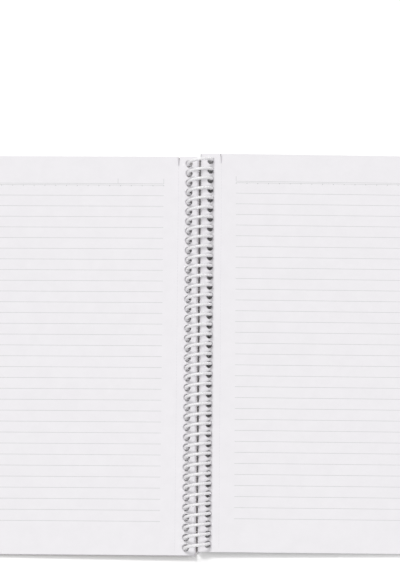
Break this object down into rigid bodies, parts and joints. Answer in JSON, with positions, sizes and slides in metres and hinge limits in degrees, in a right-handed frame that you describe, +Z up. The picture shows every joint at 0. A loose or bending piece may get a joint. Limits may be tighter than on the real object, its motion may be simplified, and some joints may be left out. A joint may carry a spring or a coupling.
{
  "type": "open spiral notebook",
  "caption": "Spiral notebook lying open: two fanned stacks of ruled leaves and their board covers, turning on one plastic coil.",
  "frame": {"origin": "on the table, under the middle of the coil: the centre of the bottom of the box", "axes": "+X across the spread to the right-hand leaves, +Y along the coil to the head of the page, +Z up"},
  "size_m": [0.3676, 0.26, 0.0174],
  "materials": {
    "coil_plastic": "frosted clear plastic",
    "cover_board": "uncoated dark brown-grey board",
    "ruled_paper": "smooth uncoated writing paper"
  },
  "bodies": {
    "coil": {"coil": "coil_plastic"},
    "front_half": {"front_cover": "cover_board", "left_leaves": "ruled_paper"},
    "back_half": {"back_cover": "cover_board", "right_leaves": "ruled_paper"}
  },
  "joints": [
    {"name": "front_cover_turn", "type": "hinge", "parent": "coil", "child": "front_half", "pos_m": [0, 0, 0.0087], "axis": [0, 1, 0], "range_deg": [0, 91.71]},
    {"name": "back_cover_turn", "type": "hinge", "parent": "coil", "child": "back_half", "pos_m": [0, 0, 0.0087], "axis": [0, -1, 0], "range_deg": [0, 91.71]}
  ]
}
